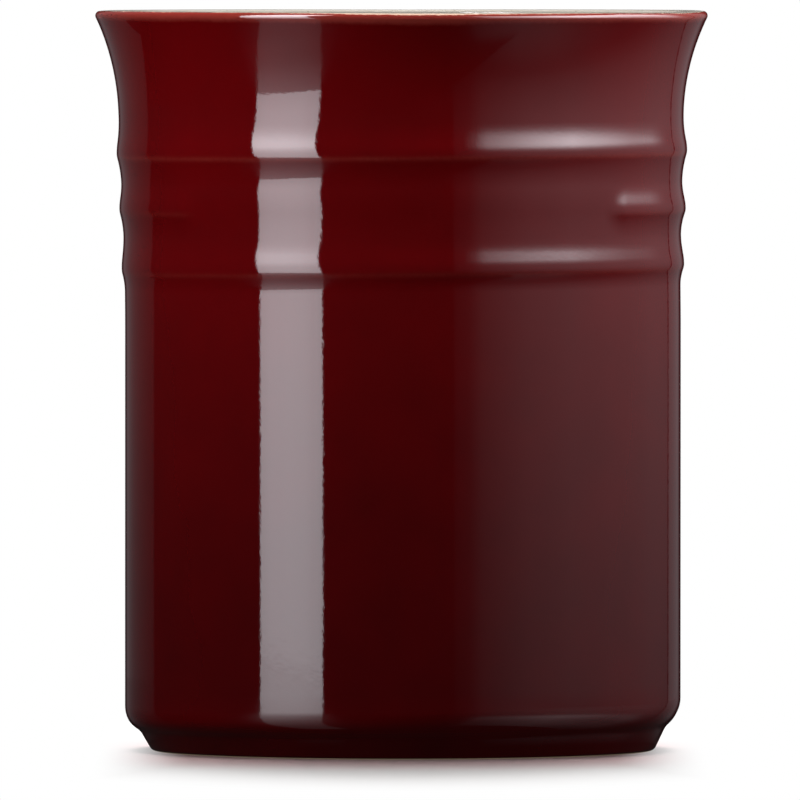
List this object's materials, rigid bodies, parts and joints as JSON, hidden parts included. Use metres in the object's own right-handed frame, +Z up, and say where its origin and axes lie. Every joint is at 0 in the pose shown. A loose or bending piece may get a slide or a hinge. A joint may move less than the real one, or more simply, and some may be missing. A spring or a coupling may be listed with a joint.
{
  "type": "utensil crock",
  "caption": "Round stoneware utensil crock with a flared rim, low ridges, a drawn-in foot, a glossy dark red glaze outside and a pale glazed inside.",
  "frame": {"origin": "centre of the standing face, on the surface that the crock stands on", "axes": "+Z up along the crock's axis, -Y towards the front, where the middle ridge is left out"},
  "size_m": [0.1242, 0.1242, 0.15],
  "materials": {
    "stoneware": "matte",
    "dark_red_glaze": "gloss",
    "cream_glaze": "gloss"
  },
  "bodies": {
    "root": {"stoneware_body": "stoneware", "outer_glaze": "dark_red_glaze", "inner_glaze": "cream_glaze", "foot_recess_glaze": "cream_glaze"}
  },
  "joints": []
}
